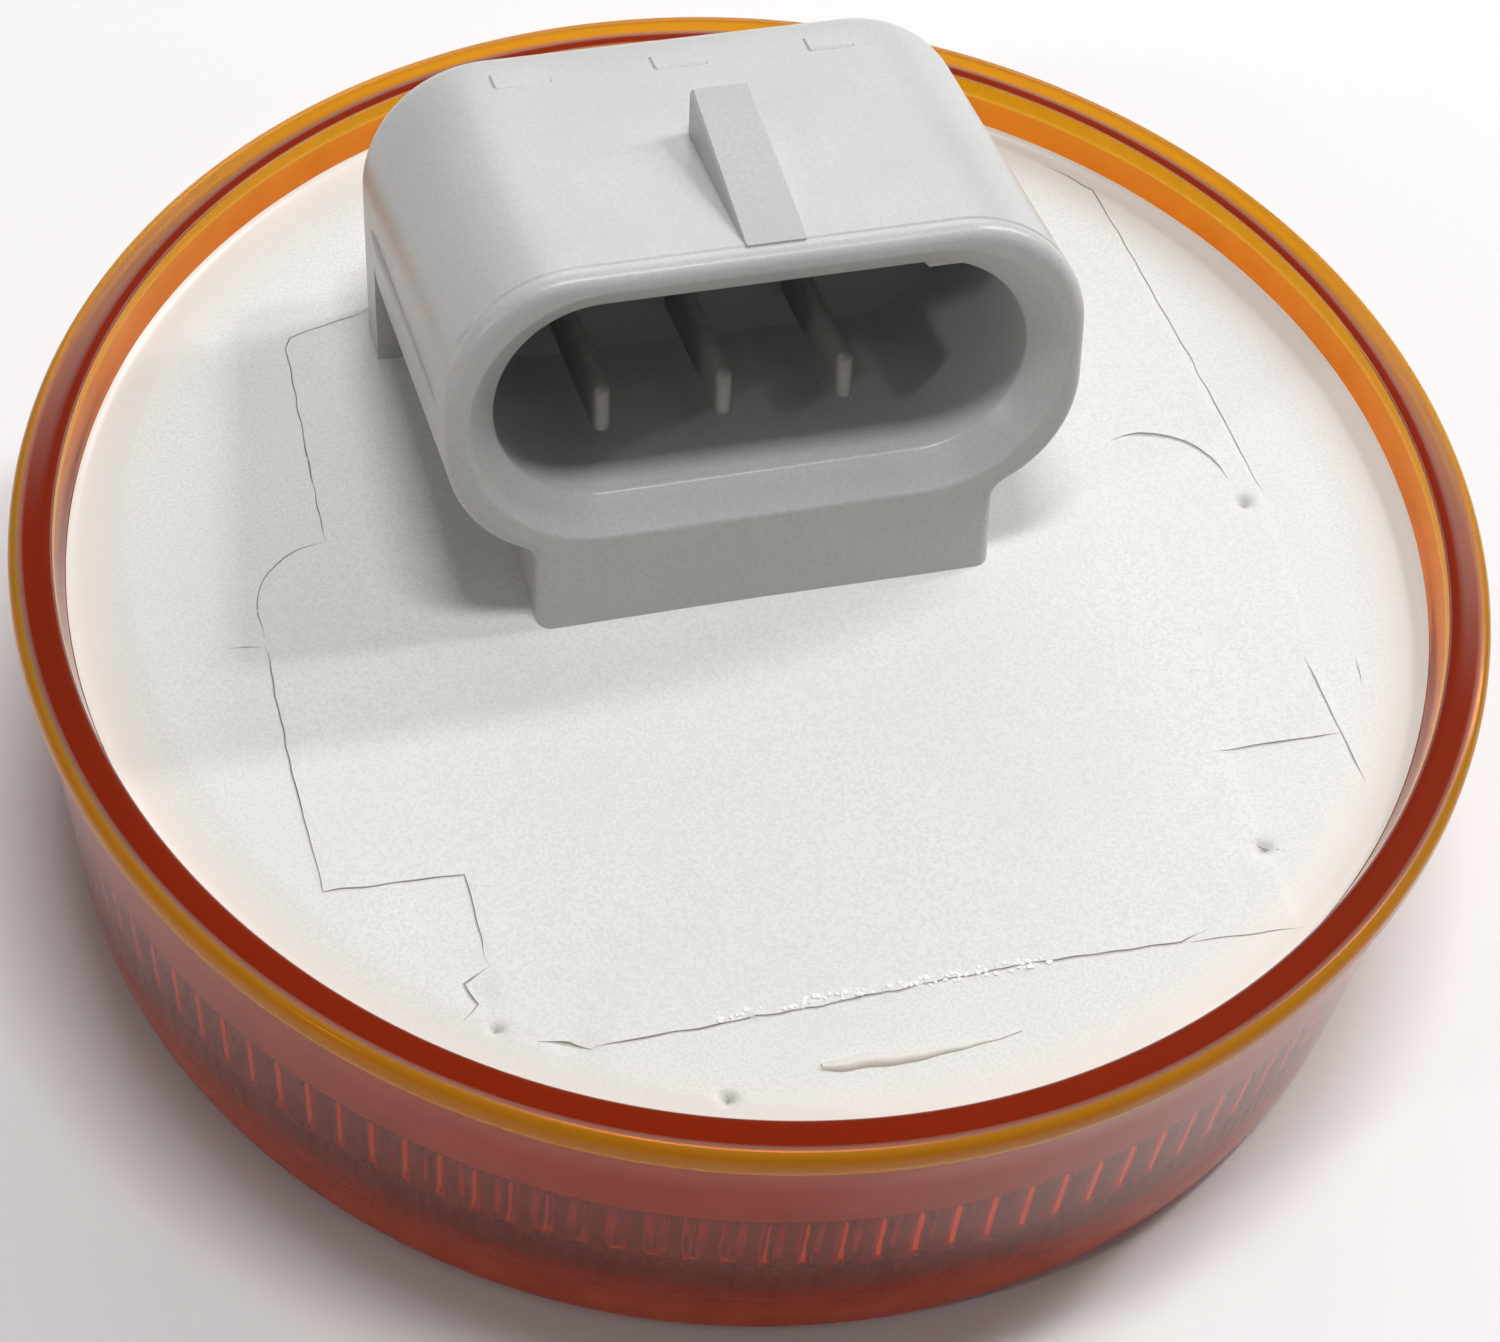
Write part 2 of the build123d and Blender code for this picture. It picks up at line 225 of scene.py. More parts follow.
class Finish:
    # a material with one Principled shader, and short ways to add the nodes that drive it
    def __init__(self, name, colour, roughness, **plain):
        self.material = bpy.data.materials.new(name)
        self.material.use_nodes = True
        self.nodes = self.material.node_tree.nodes
        self.links = self.material.node_tree.links
        self.shader = self.nodes["Principled BSDF"]
        self.place = self.nodes.new("ShaderNodeTexCoord").outputs["Object"]
        self.shader.inputs["Base Color"].default_value = (*colour, 1)
        self.shader.inputs["Roughness"].default_value = roughness
        for socket, value in plain.items():
            self.shader.inputs[socket.replace("_", " ")].default_value = value

    def noise(self, size, detail=3):
        # size is the pattern's grain in millimetres
        node = self.nodes.new("ShaderNodeTexNoise")
        node.inputs["Scale"].default_value = 1000 / size
        node.inputs["Detail"].default_value = detail
        self.links.new(self.place, node.inputs["Vector"])
        return node.outputs["Fac"]

    def cells(self, size):
        # distance to the nearest of points scattered about size millimetres apart
        node = self.nodes.new("ShaderNodeTexVoronoi")
        node.inputs["Scale"].default_value = 1000 / size
        self.links.new(self.place, node.inputs["Vector"])
        return node.outputs["Distance"]

    def mark(self, name):
        # a number stored on the piece by setMarks
        node = self.nodes.new("ShaderNodeAttribute")
        node.attribute_name = name
        return node.outputs["Fac"]

    def height(self):
        # metres above the floor
        node = self.nodes.new("ShaderNodeSeparateXYZ")
        self.links.new(self.place, node.inputs["Vector"])
        return node.outputs["Z"]

    def ramp(self, value, *stops):
        # stops are (position, colour) or (position, grey)
        node = self.nodes.new("ShaderNodeValToRGB")
        self.links.new(value, node.inputs["Fac"])
        ramp = node.color_ramp
        while len(ramp.elements) < len(stops):
            ramp.elements.new(0.5)
        for element, (position, colour) in zip(ramp.elements, stops):
            element.position = position
            element.color = (*colour, 1) if isinstance(colour, tuple) else (colour, colour, colour, 1)
        return node.outputs["Color"]

    def span(self, value, low, high, newLow, newHigh):
        # value from low..high stretched to newLow..newHigh
        node = self.nodes.new("ShaderNodeMapRange")
        self.links.new(value, node.inputs["Value"])
        for socket, number in zip(("From Min", "From Max", "To Min", "To Max"), (low, high, newLow, newHigh)):
            node.inputs[socket].default_value = number
        return node.outputs["Result"]

    def mix(self, share, first, second):
        # first where share is 0, second where it is 1; each may be a number, a colour or a socket
        node = self.nodes.new("ShaderNodeMix")
        node.data_type = "RGBA"
        for socket, value in (("Factor", share), ("A", first), ("B", second)):
            kind = "VALUE" if socket == "Factor" else "RGBA"
            target = [entry for entry in node.inputs if entry.name == socket and entry.type == kind][0]
            if isinstance(value, bpy.types.NodeSocket):
                self.links.new(value, target)
            elif isinstance(value, tuple):
                target.default_value = (*value, 1)
            else:
                target.default_value = value
        return [entry for entry in node.outputs if entry.type == "RGBA"][0]

    def drive(self, socket, value):
        # value sets this socket of the shader
        self.links.new(value, self.shader.inputs[socket])

    def bump(self, strength, *patterns):
        # each pattern is (value, depth in millimetres); they are chained
        normal = None
        for value, amount in patterns:
            node = self.nodes.new("ShaderNodeBump")
            node.inputs["Strength"].default_value = strength
            node.inputs["Distance"].default_value = amount * mm
            self.links.new(value, node.inputs["Height"])
            if normal is not None:
                self.links.new(normal, node.inputs["Normal"])
            normal = node.outputs["Normal"]
        self.links.new(normal, self.shader.inputs["Normal"])


def amberFinish():
    # clear amber plastic: the tint is in the depth of plastic that light crosses; painted over it are a red
    # haze on the wall, painted light that grows towards its foot, a golden glow on the bead and, on the satin
    # rim, a dark red shade
    finish = Finish("amberPolycarbonate", (1.0, 0.97, 0.93), 0.08, Transmission_Weight=1.0, IOR=1.586,
                    Specular_IOR_Level=0.06, Specular_Tint=(0.80, 0.16, 0.04, 1.0))
    mattAndShade, wall, bead = finish.mark("mattAndShade"), finish.mark("wall"), finish.mark("bead")
    smooth = finish.mix(bead, finish.span(mattAndShade, 0, 1, 0.09, 0.36), (0.28, 0.28, 0.28))
    finish.drive("Roughness", finish.mix(finish.noise(3.0), smooth, finish.span(mattAndShade, 0, 1, 0.04, 0.42)))
    clear = finish.ramp(finish.noise(1.2), (0.3, (0.95, 0.88, 0.84)), (0.7, (1.0, 0.96, 0.93)))
    # painted light: the red diffuse haze laid over the clear amber of the outer wall
    paintedHazeRed = finish.ramp(finish.noise(2.2), (0.3, (0.64, 0.085, 0.036)), (0.7, (0.78, 0.120, 0.055)))
    # painted light: gold for the glow on the bead and rim, dark red for the shade on the rim top
    paintedGold, paintedShadeRed = (0.90, 0.44, 0.025), (0.30, 0.022, 0.004)
    colour = finish.mix(bead, finish.mix(wall, clear, paintedHazeRed), paintedGold)
    finish.drive("Base Color", finish.mix(mattAndShade, colour, paintedShadeRed))
    # less clear towards the wall's foot, where more of the painted red haze lightens it
    clearAbovePaintedFoot = finish.span(finish.height(), 0.002, 0.0055, 0.42, 0.85)
    share = finish.mix(bead, finish.mix(wall, (1.0, 1.0, 1.0), clearAbovePaintedFoot), (0.62, 0.62, 0.62))
    # the rim top lets less light through, so its painted dark red shade shows
    finish.drive("Transmission Weight", finish.mix(mattAndShade, share, (0.45, 0.45, 0.45)))
    finish.bump(0.4, (finish.noise(5.0, 2), 0.02), (finish.noise(0.5), 0.003))
    depth = finish.nodes.new("ShaderNodeVolumeAbsorption")
    depth.inputs["Color"].default_value = (0.980, 0.835, 0.030, 1)
    depth.inputs["Density"].default_value = 1400
    finish.links.new(depth.outputs["Volume"], finish.nodes["Material Output"].inputs["Volume"])
    return finish.material


def greyFinish():
    # moulded grey nylon: sandy sheen, faint flow patches and a few dark specks
    finish = Finish("greyNylon", (0.54, 0.545, 0.535), 0.30)
    patches = finish.ramp(finish.noise(6.0), (0.3, (0.525, 0.53, 0.52)), (0.7, (0.565, 0.57, 0.56)))
    grain = finish.ramp(finish.noise(0.16, 2), (0.38, 0.60), (0.62, 1.0))
    colour = finish.mix(grain, (0.44, 0.445, 0.435), patches)
    specks = finish.ramp(finish.cells(1.6), (0.0, 1.0), (0.035, 1.0), (0.05, 0.0))
    chosen = finish.ramp(finish.noise(4.0, 1), (0.60, 0.0), (0.66, 1.0))
    dirty = finish.mix(specks, (0.0, 0.0, 0.0), chosen)
    finish.drive("Base Color", finish.mix(dirty, colour, (0.26, 0.25, 0.24)))
    finish.drive("Roughness", finish.span(finish.noise(0.6), 0.3, 0.7, 0.28, 0.34))
    finish.bump(0.5, (finish.noise(0.18, 2), 0.010), (finish.noise(1.8, 2), 0.02))
    return finish.material


def pottingFinish():
    # cast white epoxy: matt and sandy in the middle, smoother and creamier at the rim, darker in the deep
    # pits
    finish = Finish("whiteEpoxy", (0.80, 0.80, 0.77), 0.5)
    patches = finish.ramp(finish.noise(9.0, 3), (0.3, (0.76, 0.765, 0.74)), (0.7, (0.80, 0.80, 0.775)))
    grain = finish.ramp(finish.noise(0.14, 2), (0.34, 0.0), (0.60, 1.0))
    sandy = finish.mix(grain, (0.70, 0.70, 0.675), patches)
    rim = finish.mark("rim")
    sandy = finish.mix(rim, sandy, (0.83, 0.76, 0.70))
    finish.drive("Base Color", finish.mix(finish.mark("pit"), sandy, (0.42, 0.40, 0.37)))
    finish.drive("Roughness", finish.span(rim, 0, 1, 0.58, 0.30))
    depth = finish.span(rim, 0, 1, 1.0, 0.15)
    product = finish.nodes.new("ShaderNodeMath")
    product.operation = "MULTIPLY"
    finish.links.new(finish.noise(0.15, 2), product.inputs[0])
    finish.links.new(depth, product.inputs[1])
    finish.bump(0.6, (product.outputs[0], 0.014), (finish.noise(1.4, 3), 0.016))
    return finish.material


def crackFinish():
    # the hairlines: white lips with a dark grey bottom, mottled by noise, which is painted shade inside the
    # crack
    finish = Finish("hairline", (0.8, 0.8, 0.77), 0.6)
    darkShare = finish.span(finish.noise(1.5, 2), 0.35, 0.65, 0.55, 1.0)
    groove = finish.mark("groove")
    # painted shade for the crack's bottom, in two dark greys
    dark = finish.mix(darkShare, (0.34, 0.32, 0.29), (0.13, 0.12, 0.10))
    finish.drive("Base Color", finish.mix(groove, (0.82, 0.82, 0.79), dark))
    finish.bump(0.5, (finish.noise(0.2), 0.01))
    return finish.material


def metalFinish(name, colour, roughness, grain):
    # solder or tinned pads: metallic, with small changes in colour and gloss
    finish = Finish(name, colour, roughness, Metallic=1.0)
    low = tuple(0.82 * part for part in colour)
    finish.drive("Base Color", finish.ramp(finish.noise(grain), (0.3, low), (0.7, colour)))
    gloss = finish.span(finish.noise(grain * 0.6), 0.3, 0.7, roughness - 0.08, roughness + 0.1)
    finish.drive("Roughness", gloss)
    finish.bump(0.4, (finish.noise(grain * 0.3), 0.006))
    return finish.material


def plainFinish(name, colour, roughness, grain, contrast=0.12, **plain):
    # moulded or fired packages and dull plate: grainy colour, sandy skin
    finish = Finish(name, colour, roughness, **plain)
    low = tuple((1 - contrast) * part for part in colour)
    high = tuple(min(1, (1 + contrast) * part) for part in colour)
    finish.drive("Base Color", finish.ramp(finish.noise(grain), (0.3, low), (0.7, high)))
    gloss = finish.span(finish.noise(grain * 0.5), 0.3, 0.7, roughness - 0.06, roughness + 0.08)
    finish.drive("Roughness", gloss)
    finish.bump(0.4, (finish.noise(grain * 0.3), 0.008))
    return finish.material


def boardFinish():
    # glass-epoxy board: white mask over faint weave
    finish = Finish("solderMask", (0.72, 0.73, 0.70), 0.35, Coat_Weight=0.3)
    weave = finish.ramp(finish.noise(0.8), (0.35, (0.66, 0.67, 0.64)), (0.65, (0.76, 0.77, 0.74)))
    finish.drive("Base Color", weave)
    finish.drive("Roughness", finish.span(finish.noise(1.5), 0.3, 0.7, 0.28, 0.42))
    finish.bump(0.4, (finish.cells(0.5), 0.01))
    return finish.material


def floorFinish():
    # pale paper with broad, faint patches
    finish = Finish("paleFloor", (0.86, 0.86, 0.86), 0.7)
    finish.drive("Base Color", finish.ramp(finish.noise(60), (0.3, 0.85), (0.7, 0.87)))
    return finish.material


amber = amberFinish()
grey = greyFinish()
epoxy = pottingFinish()
hairline = crackFinish()
tin = plainFinish("dullTinPlate", (0.30, 0.30, 0.285), 0.42, 0.8, Metallic=0.35)
print("materials")


def dress(piece, material, recordSlot, *replaced):
    # the piece's material, the body it rides on and the nodes it replaces; recordSlot is not used
    piece.data.materials.append(material)
    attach(piece, "root")
    if replaced:
        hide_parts(*replaced)


lensSpec = {"radius": 31.74, "height": 17.2, "lipDrop": 1.7, "lipOut": 0.49, "bore": 29.85, "inner": 29.35,
            "recess": 2.35, "seat": 10.2, "floor": 2.2, "footRadius": 29.73, "footRound": 1.2,
            "rimRound": 0.5, "boreRound": 0.25, "faceStart": 1.5, "flutes": 120, "fluteRoot": 28.85,
            "fluteDepth": 0.42, "fineDepth": 0.4, "columnsPerFlute": 8, "stepHeight": 5.7, "stepIn": 0.45,
            "prisms": 7, "prismPitch": 3.2, "prismHeight": 0.6, "prismCrest": 0.5, "rimGlow": (31.12, 31.42),
            "rimGlowBack": (30.25, 30.6), "backAngle": 70, "backRange": (-0.2, 0.7),
            "wallTop": (15.4, 15.55), "beadFoot": (15.3, 15.5), "wallFoot": (27.0, 29.2)}
postSpec = {"radius": 1.38, "circle": 25.4, "angles": (90, 210, 330), "edge": 0.2, "gap": 0.02, "columns": 32}
upperRibs = (10.18, 10.05, 9.9, 9.7, 9.3, 8.2, 7.1, 6.0, 5.8)  # heights of the rings down the upper flutes
lowerRibs = (5.65, 5.4, 4.8, 4.0, 3.5, 3.15, 2.9)  # and down the finer ones under the step


def outerSection(spec):
    # (radius, height) points: up the outside, over the rim and down the inside to the board's seat
    top = spec["height"]
    lipFoot = top - spec["lipDrop"]
    wallTop = spec["radius"] - spec["lipOut"]
    draft = math.atan((wallTop - spec["footRadius"]) / lipFoot)
    foot, rim, bore = spec["footRound"], spec["rimRound"], spec["boreRound"]
    footMiddle = (spec["footRadius"] - foot * math.tan(math.radians(45) - draft / 2), foot)
    wallFoot = (footMiddle[0] + foot * math.cos(draft), foot - foot * math.sin(draft))
    potTop = top - spec["recess"]
    return np.concatenate([
        line((spec["faceStart"], 0), (footMiddle[0], 0), 8)[:-1],
        arc(footMiddle, foot, -90, -math.degrees(draft), 9),
        line(wallFoot, (wallTop - 0.03, lipFoot - 0.15), 9)[1:],
        line((wallTop + 0.05, lipFoot + 0.06), (spec["radius"] - 0.06, lipFoot + spec["lipOut"] - 0.03), 3),
        line((spec["radius"], lipFoot + spec["lipOut"] + 0.12), (spec["radius"], top - rim), 3)[:-1],
        arc((spec["radius"] - rim, top - rim), rim, 0, 90, 6),
        line((spec["radius"] - rim, top), (spec["bore"] + bore, top), 8)[1:-1],
        arc((spec["bore"] + bore, top - bore), bore, 90, 180, 4),
        line((spec["bore"], top - bore), (spec["inner"], potTop), 4)[1:],
        line((spec["inner"], potTop), (spec["inner"], spec["seat"]), 3)[1:],
    ])


def outerMarks(points, spec):
    # columns: wide red rim and thin red rim (painted dark red shade), wall (painted red haze), bead and rim
    # with a painted golden glow, each a smooth step of radius or height
    radius, height = points[:, :1], points[:, 1:]
    outer = (radius > 30.2) | ((height < 9.9) & (radius > 24))
    top = spec["height"]
    rimTop = blendStep(top - 0.30, top - 0.02, height) * (radius > spec["bore"] + 0.1)
    wide = rimTop * (1 - blendStep(*spec["rimGlow"], radius))
    thin = rimTop * (1 - blendStep(*spec["rimGlowBack"], radius))
    wall = outer * blendStep(*spec["wallFoot"], radius) * (1 - blendStep(*spec["wallTop"], height))
    paintedGlow = np.maximum(outer * blendStep(*spec["beadFoot"], height), rimTop)
    return np.hstack([wide, thin, wall, paintedGlow])


def lensProfile(spec):
    # one section as columns radius, height, upper ribs, fine ribs and the four marks: the outside, the fluted
    # wall in two steps, then in over the prisms
    outside = outerSection(spec)
    step = spec["stepHeight"]
    upper, lower = np.array(upperRibs)[:, None], np.array(lowerRibs)[:, None]
    upperStrength = blendStep(spec["seat"], 9.7, upper) * blendStep(step + 0.05, step + 0.3, upper)
    lowerStrength = blendStep(step - 0.02, step - 0.3, lower) * blendStep(2.88, 3.3, lower)
    inset = spec["fluteRoot"] - spec["stepIn"]
    face = [(inset - 0.1, spec["floor"] + 0.35), (inset - 0.6, spec["floor"])]
    for ring in range(spec["prisms"], 0, -1):
        edge = ring * spec["prismPitch"]
        face += [(edge, spec["floor"]), (edge - spec["prismCrest"], spec["floor"] + spec["prismHeight"]),
                 (edge - spec["prismPitch"] + 0.15, spec["floor"] + 0.03)]
    return np.concatenate([
        np.hstack([outside, np.zeros((len(outside), 2)), outerMarks(outside, spec)]),
        np.hstack([0 * upper + spec["fluteRoot"], upper, upperStrength, np.zeros((len(upper), 5))]),
        np.hstack([0 * lower + inset, lower, 0 * lower, lowerStrength, np.zeros((len(lower), 4))]),
        np.hstack([np.array(face), np.zeros((len(face), 6))]),
    ])


def makeLens(spec):
    # radius = r - depth * (upper * wave ** 1.5 + share * lower * fine), where wave = 0.5 + 0.5 cos(n t) for n
    # flutes at the turn t, and fine is the same with twice as many; the rim's painted dark red shade narrows
    # at the back, giving way to the bead's painted golden glow
    profile = lensProfile(spec)
    columns = spec["flutes"] * spec["columnsPerFlute"]
    turn = 2 * math.pi * np.arange(columns) / columns
    wave = (0.5 + 0.5 * np.cos(spec["flutes"] * turn)) ** 1.5
    fine = 0.5 + 0.5 * np.cos(2 * spec["flutes"] * turn)
    ribs = profile[:, 2:3] * wave + spec["fineDepth"] * profile[:, 3:4] * fine
    radius = profile[:, :1] - spec["fluteDepth"] * ribs
    height = np.broadcast_to(profile[:, 1:2], radius.shape)
    rows = np.stack([radius * np.cos(turn), radius * np.sin(turn), height], -1)
    piece = addMesh("lensCup", *skin(rows, (0, 0, 0), (0, 0, spec["floor"])), crease=28)
    back = blendStep(*spec["backRange"], np.cos(turn - math.radians(spec["backAngle"])))
    wide, thin, wall, paintedGlow = (profile[:, column, None] for column in (4, 5, 6, 7))
    # painted dark red shade on the rim top: the wide band in front, the thin one at the back
    mattAndShade = wide * (1 - back) + thin * back
    for name, values in (("mattAndShade", mattAndShade), ("wall", wall + 0 * turn), ("bead", paintedGlow * (1 - mattAndShade))):
        setMarks(piece, name, np.append(values.ravel(), (0, 0)))
    return piece


def makePosts(spec, low, high):
    # a short round post: radius r up to its rounded top, repeated on the post circle
    section = np.array([(spec["radius"], low), (spec["radius"], high - spec["edge"]),
                        (spec["radius"] - spec["edge"], high)])
    turn = 2 * math.pi * np.arange(spec["columns"]) / spec["columns"]
    parts = []
    for angle in np.radians(spec["angles"]):
        x, y = spec["circle"] * math.cos(angle), spec["circle"] * math.sin(angle)
        height = np.broadcast_to(section[:, 1:], (len(section), spec["columns"]))
        rows = np.stack([x + section[:, :1] * np.cos(turn), y + section[:, :1] * np.sin(turn), height], -1)
        parts.append(skin(rows, (x, y, low), (x, y, high)))
    piece = addMesh("lensPosts", *joined(parts), crease=40)
    for name in ("mattAndShade", "wall", "bead"):
        setMarks(piece, name, np.zeros(len(piece.data.vertices)))
    return piece


lensCup = makeLens(lensSpec)
dress(lensCup, amber, "amber_lens", "lens")
lensPosts = makePosts(postSpec, lensSpec["floor"] + postSpec["gap"], lensSpec["seat"] - postSpec["gap"])
dress(lensPosts, amber, "amber_lens")
print("lens", len(lensCup.data.polygons))


pottingSpec = {"top": 14.85, "wall": 29.40, "skirt": 29.2, "boardTop": 11.8, "boardReach": 20.0, "foot": 10.2,
               "columns": 800, "middleRings": (0.4, 21, 36), "outerRings": (21.2, 29.40, 78),
               "meniscus": 0.28, "meniscusReach": 0.35, "filmStep": 0.045, "filmEdge": 0.25,
               "creamRange": (26.4, 29.3), "darkPitDepth": 0.2, "crumbLine": ((-7, -22.9), (6, -22.7)),
               "crumbSpread": 0.35, "crumbRise": 0.06}
swells = ((0.02, 17, 3), (0.006, 3.2, 4))  # rise, length, seed
# the base plate's edge, which shows through the film of potting over it
plateOutline = np.array([
    (-17.6, 15.9), (-18.0, 4.05), (-21.5, 1.0), (-21.6, -13.7), (-15.7, -14.0), (-15.8, -21.5),
    (-12.6, -23.1), (12.1, -22.9), (17.2, -23.2), (16.9, -14.0), (22.2, -14.0), (23.2, -0.8), (21.75, 16.0),
])
# small pits and bumps in the cast surface: x, y, spread, depth
pottingMarks = (
    (-13.2, -23.0, 0.9, 0.16), (-22.4, -0.9, 0.5, -0.05), (22.3, -0.9, 0.32, 0.38),
    (-16.6, -19.6, 0.6, 0.10), (17.0, -19.0, 0.38, 0.30), (-21.3, 16.6, 0.8, -0.05),
    (-7.9, -26.4, 0.28, 0.42), (-16.1, -21.5, 0.24, 0.30),
)


def segmentDistance(x, y, first, second):
    # distance to a segment: |p - (a + t (b - a))|, t = (p - a) . (b - a) / |b - a|^2, held in 0..1
    dx, dy = second[0] - first[0], second[1] - first[1]
    t = np.clip(((x - first[0]) * dx + (y - first[1]) * dy) / (dx * dx + dy * dy), 0, 1)
    return np.hypot(x - first[0] - t * dx, y - first[1] - t * dy)


def insideOutline(x, y, outline):
    # signed distance to a closed outline, positive inside: even-odd crossings give the sign
    inside = np.zeros(np.shape(x), bool)
    nearest = np.full(np.shape(x), 1e9)
    for first, second in zip(outline, np.roll(outline, -1, 0)):
        nearest = np.minimum(nearest, segmentDistance(x, y, first, second))
        rise = second[1] - first[1]
        if abs(rise) > 1e-9:
            crosses = (first[1] > y) != (second[1] > y)
            inside ^= crosses & (x < first[0] + (y - first[1]) / rise * (second[0] - first[0]))
    return np.where(inside, nearest, -nearest)


def pottingHeight(x, y, spec=pottingSpec):
    # top + meniscus * exp(-(wall - r) / reach) + a smooth step over the plate's edge + swells
    # - depth * exp(-d * d / spread ** 2) at each mark + short waves near the crumbs' line
    toWall = np.clip(spec["wall"] - np.hypot(x, y), 0, None)
    height = spec["top"] + spec["meniscus"] * np.exp(-toWall / spec["meniscusReach"])
    overPlate = blendStep(-spec["filmEdge"], spec["filmEdge"], insideOutline(x, y, plateOutline))
    height += spec["filmStep"] * overPlate
    for rise, length, seed in swells:
        height += rise * waves(x, y, length, seed)
    for markX, markY, spread, depth in pottingMarks:
        height -= depth * np.exp(-((x - markX) ** 2 + (y - markY) ** 2) / spread ** 2)
    near = np.exp(-(segmentDistance(x, y, *spec["crumbLine"]) / spec["crumbSpread"]) ** 2)
    return height + spec["crumbRise"] * near * np.clip(waves(x, y, 0.9, 5), -0.2, 1.5)


def pitDarkening(x, y, spec):
    # sum of exp(-2 * d * d / spread ** 2) over the deep pits, held in 0..1
    darkShare = np.zeros_like(x)
    for markX, markY, spread, depth in pottingMarks:
        if depth > spec["darkPitDepth"]:
            darkShare += np.exp(-2 * ((x - markX) ** 2 + (y - markY) ** 2) / spread ** 2)
    return np.clip(darkShare, 0, 1)


def makePotting(spec):
    # height over a polar grid, then down the wall, under the board's edge and in along the board
    reach = np.concatenate([np.linspace(*spec["middleRings"]), np.linspace(*spec["outerRings"])])
    turn = 2 * math.pi * np.arange(spec["columns"]) / spec["columns"]
    x, y = reach[:, None] * np.cos(turn), reach[:, None] * np.sin(turn)
    top = np.stack([x, y, pottingHeight(x, y)], -1)
    under = np.array([(spec["wall"], spec["foot"]), (spec["skirt"], spec["foot"]),
                      (spec["skirt"], spec["boardTop"]), (spec["boardReach"], spec["boardTop"])])
    below = np.stack([under[:, :1] * np.cos(turn), under[:, :1] * np.sin(turn),
                      np.broadcast_to(under[:, 1:], (len(under), spec["columns"]))], -1)
    rows = np.concatenate([top, below])
    centre = float(pottingHeight(np.zeros(1), np.zeros(1))[0])
    piece = addMesh("pottingCast", *skin(rows, (0, 0, centre), (0, 0, spec["boardTop"])), crease=50)
    radius = np.hypot(rows[..., 0], rows[..., 1])
    cream = blendStep(*spec["creamRange"], radius)
    for name, values in (("rim", cream), ("pit", pitDarkening(rows[..., 0], rows[..., 1], spec))):
        setMarks(piece, name, np.append(values.ravel(), (0, 0)))
    return piece


potting = makePotting(pottingSpec)
dress(potting, epoxy, "white_potting", "potting")
print("potting", len(potting.data.polygons))


def hairPath(corners, spacing, wander, seed):
    # straight runs between corners, moved sideways by short random waves
    runs = []
    for first, second in zip(corners[:-1], corners[1:]):
        steps = max(1, int(np.hypot(second[0] - first[0], second[1] - first[1]) / spacing))
        runs.append(line(first, second, steps + 1)[:-1])
    path = np.concatenate(runs + [np.array([corners[-1]], float)])
    path[:, 0] += wander * waves(path[:, 0], path[:, 1], 1.7, seed)
    path[:, 1] += wander * waves(path[:, 0], path[:, 1], 2.1, seed + 1)
    return path


hairSpec = {"spacing": 0.3, "wander": 0.03, "seed": 40, "swellLength": 2.5, "swell": 0.3, "leastEnd": 0.15}
# section: side and height as shares of half the width and of the lift, and how deep in the groove it is
hairSection = np.array([(-1.0, -0.02, 0), (-0.62, 1.0, 0.1), (-0.2, 0.35, 1), (0, 0.3, 1), (0.2, 0.35, 1),
                        (0.62, 1.0, 0.1), (1.0, -0.02, 0), (0, -0.6, 0)])


def hairStrip(corners, width, lift, seed, spec=hairSpec):
    # a low closed strip: the section carried along the path on the potting's surface, thin at both ends
    path = hairPath(corners, spec["spacing"], spec["wander"], seed)
    ahead = np.gradient(path, axis=0)
    ahead /= np.linalg.norm(ahead, axis=1)[:, None]
    side = np.stack([-ahead[:, 1], ahead[:, 0]], -1)
    share = np.linspace(0, 1, len(path))
    taper = np.clip(np.minimum(share, 1 - share) * len(path) / 4, spec["leastEnd"], 1)
    uneven = 1 + spec["swell"] * waves(path[:, 0], path[:, 1], spec["swellLength"], seed + 2)
    reach = (width * taper * uneven)[:, None, None]
    across, rise, groove = hairSection.T
    place = path[:, None, :] + side[:, None, :] * (across * 0.5)[None, :, None] * reach
    height = pottingHeight(place[..., 0], place[..., 1]) + rise * lift * taper[:, None]
    rows = np.concatenate([place, height[..., None]], -1)
    return skin(rows, rows[0].mean(0), rows[-1].mean(0)), np.append(np.tile(groove, len(path)), (0, 0))


def bend(middle, radius, fromDegrees, toDegrees, count=10):
    # an arc as a list of corners
    return [tuple(point) for point in arc(middle, radius, fromDegrees, toDegrees, count)]


